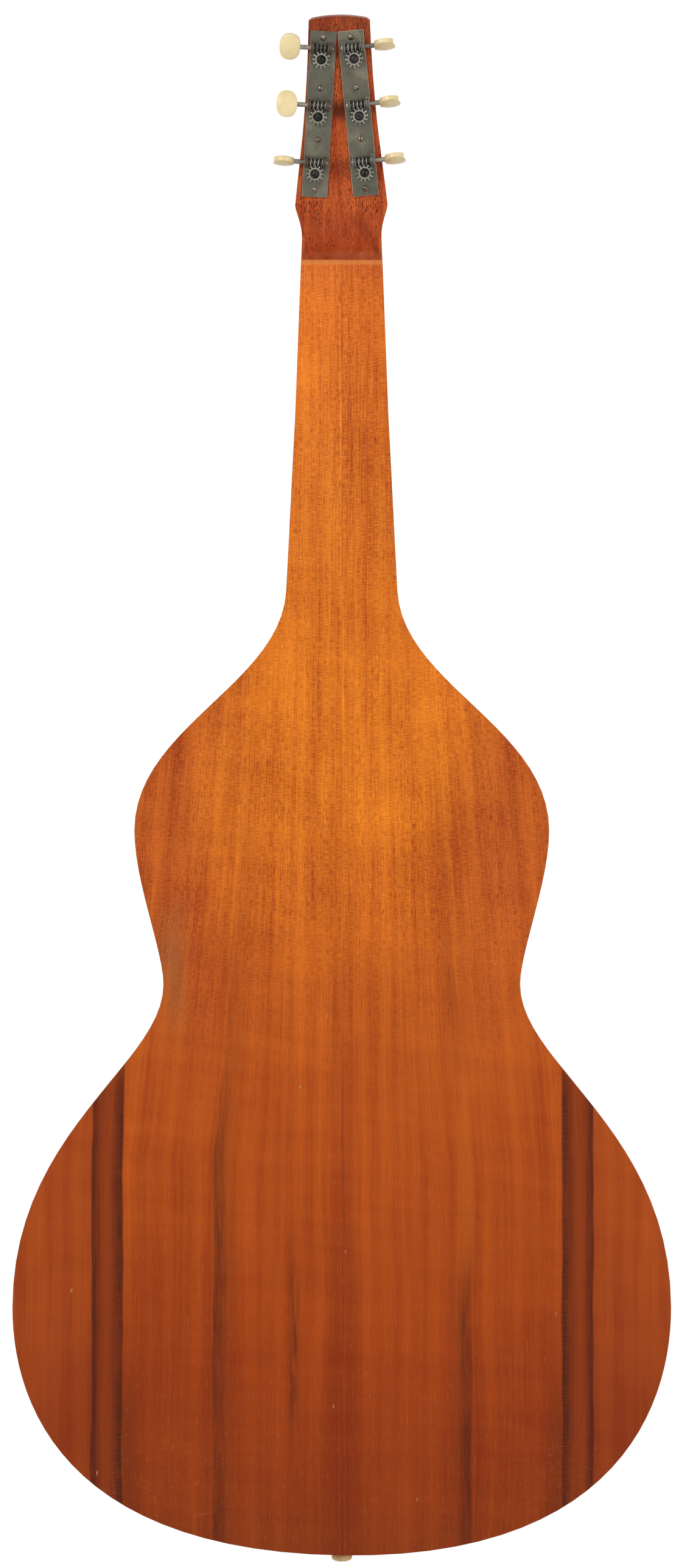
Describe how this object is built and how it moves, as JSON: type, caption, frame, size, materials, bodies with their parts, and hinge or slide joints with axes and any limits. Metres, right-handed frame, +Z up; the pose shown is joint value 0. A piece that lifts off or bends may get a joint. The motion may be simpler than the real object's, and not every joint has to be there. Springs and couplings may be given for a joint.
{
  "type": "hollow-neck lap guitar",
  "caption": "Hollow-neck Hawaiian lap guitar with bookmatched koa back, bent ribs and geared tuners on two plates with oval buttons.",
  "frame": {"origin": "nut line on the centre plane, at half the depth of the neck, where a hanger's yoke holds the guitar under its headstock", "axes": "+Z up the neck, head up; +Y out of the soundboard; -Y out of the back; +X to the bass side"},
  "size_m": [0.401, 0.0901, 0.9527],
  "materials": {
    "heel_koa": "satin lacquer",
    "back_koa": "satin lacquer, checked",
    "side_koa": "satin lacquer",
    "top_koa": "satin lacquer",
    "block_wood": "raw",
    "lining_wood": "raw",
    "brace_spruce": "raw",
    "dark_wood": "oiled",
    "pale_wood": "oiled",
    "bone": "polished",
    "pearl": "polished",
    "ivoroid": "worn gloss",
    "end_ivoroid": "worn gloss",
    "plate_nickel": "tarnished",
    "gear_nickel": "tarnished",
    "post_nickel": "nickel plate",
    "worm_steel": "dark",
    "blued_steel": "blued",
    "screw_brass": "tarnished",
    "wound_wire": "bright",
    "plain_wire": "bright"
  },
  "bodies": {
    "root": {"headstock": "heel_koa", "nut": "bone", "fretboard": "dark_wood", "fret_lines": "pale_wood", "position_dots": "pearl", "soundboard_bass": "top_koa", "soundboard_treble": "top_koa", "rosette": "pale_wood", "back_bass": "back_koa", "back_treble": "back_koa", "side_bass": "side_koa", "side_treble": "side_koa", "tail_block": "block_wood", "end_pin": "end_ivoroid", "bridge": "dark_wood", "saddle": "bone", "bridge_pins": "ivoroid", "bridge_plate": "pale_wood", "front_linings": "lining_wood", "back_linings": "lining_wood", "soundboard_braces": "brace_spruce", "cross_braces": "brace_spruce", "back_braces": "brace_spruce", "seam_strip": "lining_wood", "tuner_plate_bass": "plate_nickel", "tuner_plate_treble": "plate_nickel", "plate_screws": "screw_brass", "post_ferrules": "post_nickel", "wound_strings": "wound_wire", "plain_strings": "plain_wire"},
    "worm_1": {"worm_shaft_1": "worm_steel", "button_1": "ivoroid"},
    "spindle_1": {"gear_1": "gear_nickel", "gear_screw_1": "blued_steel", "post_1": "post_nickel"},
    "worm_2": {"worm_shaft_2": "worm_steel", "button_2": "ivoroid"},
    "spindle_2": {"gear_2": "gear_nickel", "gear_screw_2": "blued_steel", "post_2": "post_nickel"},
    "worm_3": {"worm_shaft_3": "worm_steel", "button_3": "ivoroid"},
    "spindle_3": {"gear_3": "gear_nickel", "gear_screw_3": "blued_steel", "post_3": "post_nickel"},
    "worm_4": {"worm_shaft_4": "worm_steel", "button_4": "ivoroid"},
    "spindle_4": {"gear_4": "gear_nickel", "gear_screw_4": "blued_steel", "post_4": "post_nickel"},
    "worm_5": {"worm_shaft_5": "worm_steel", "button_5": "ivoroid"},
    "spindle_5": {"gear_5": "gear_nickel", "gear_screw_5": "blued_steel", "post_5": "post_nickel"},
    "worm_6": {"worm_shaft_6": "worm_steel", "button_6": "ivoroid"},
    "spindle_6": {"gear_6": "gear_nickel", "gear_screw_6": "blued_steel", "post_6": "post_nickel"}
  },
  "joints": [
    {"name": "worm_turn_1", "type": "hinge", "parent": "root", "child": "worm_1", "pos_m": [-0.01219, -0.02644, 0.113], "axis": [-0.9984, -0.0123, 0.0553], "continuous": true},
    {"name": "post_turn_1", "type": "hinge", "parent": "root", "child": "spindle_1", "pos_m": [-0.01259, -0.00526, 0.11054], "axis": [0, -0.9763, -0.2164], "continuous": true},
    {"name": "worm_turn_2", "type": "hinge", "parent": "root", "child": "worm_2", "pos_m": [-0.01418, -0.01888, 0.07888], "axis": [-0.9984, -0.0123, 0.0553], "continuous": true},
    {"name": "post_turn_2", "type": "hinge", "parent": "root", "child": "spindle_2", "pos_m": [-0.01458, 0.00231, 0.07642], "axis": [0, -0.9763, -0.2164], "continuous": true},
    {"name": "worm_turn_3", "type": "hinge", "parent": "root", "child": "worm_3", "pos_m": [-0.01616, -0.01131, 0.04477], "axis": [-0.9984, -0.0123, 0.0553], "continuous": true},
    {"name": "post_turn_3", "type": "hinge", "parent": "root", "child": "spindle_3", "pos_m": [-0.01656, 0.00987, 0.04231], "axis": [0, -0.9763, -0.2164], "continuous": true},
    {"name": "worm_turn_4", "type": "hinge", "parent": "root", "child": "worm_4", "pos_m": [0.00677, -0.02654, 0.11346], "axis": [0.9955, -0.0206, 0.0927], "continuous": true},
    {"name": "post_turn_4", "type": "hinge", "parent": "root", "child": "spindle_4", "pos_m": [0.00744, -0.00536, 0.11102], "axis": [0, -0.9763, -0.2164], "continuous": true},
    {"name": "worm_turn_5", "type": "hinge", "parent": "root", "child": "worm_5", "pos_m": [0.0101, -0.019, 0.07945], "axis": [0.9955, -0.0206, 0.0927], "continuous": true},
    {"name": "post_turn_5", "type": "hinge", "parent": "root", "child": "spindle_5", "pos_m": [0.01076, 0.00218, 0.07701], "axis": [0, -0.9763, -0.2164], "continuous": true},
    {"name": "worm_turn_6", "type": "hinge", "parent": "root", "child": "worm_6", "pos_m": [0.01342, -0.01146, 0.04543], "axis": [0.9955, -0.0206, 0.0927], "continuous": true},
    {"name": "post_turn_6", "type": "hinge", "parent": "root", "child": "spindle_6", "pos_m": [0.01409, 0.00972, 0.04299], "axis": [0, -0.9763, -0.2164], "continuous": true}
  ],
  "couplings": [
    {"joint": "post_turn_1", "follows": "worm_turn_1", "ratio": 0.083333},
    {"joint": "post_turn_2", "follows": "worm_turn_2", "ratio": 0.083333},
    {"joint": "post_turn_3", "follows": "worm_turn_3", "ratio": 0.083333},
    {"joint": "post_turn_4", "follows": "worm_turn_4", "ratio": -0.083333},
    {"joint": "post_turn_5", "follows": "worm_turn_5", "ratio": -0.083333},
    {"joint": "post_turn_6", "follows": "worm_turn_6", "ratio": -0.083333}
  ]
}
